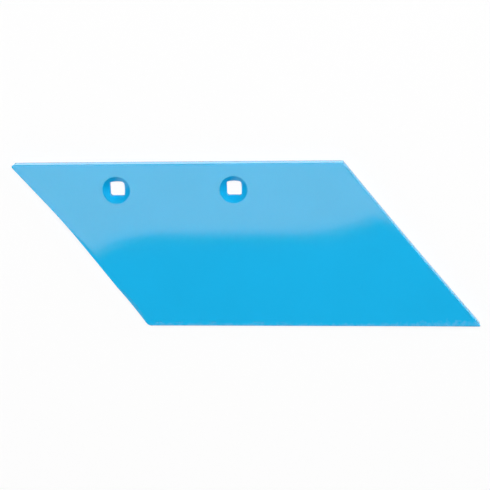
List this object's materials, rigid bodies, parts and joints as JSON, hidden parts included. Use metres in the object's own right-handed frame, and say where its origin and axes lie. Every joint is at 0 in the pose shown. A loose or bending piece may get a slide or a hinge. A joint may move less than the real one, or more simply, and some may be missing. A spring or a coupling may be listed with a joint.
{
  "type": "plough share",
  "caption": "Right-hand plough share: a slanted steel plate with a ground back edge and countersunk square bolt holes, painted bright blue.",
  "frame": {"origin": "middle of the outline's length and width, on the flat back", "axes": "+X along the cutting edge towards the point, +Y from the cutting edge to the bolt edge, +Z out of the soil face"},
  "size_m": [0.4019, 0.146, 0.01],
  "materials": {
    "blue_paint": "bright sky-blue gloss paint over rolled steel, thin at the edges"
  },
  "bodies": {
    "root": {"plough_share": "blue_paint"}
  },
  "joints": []
}
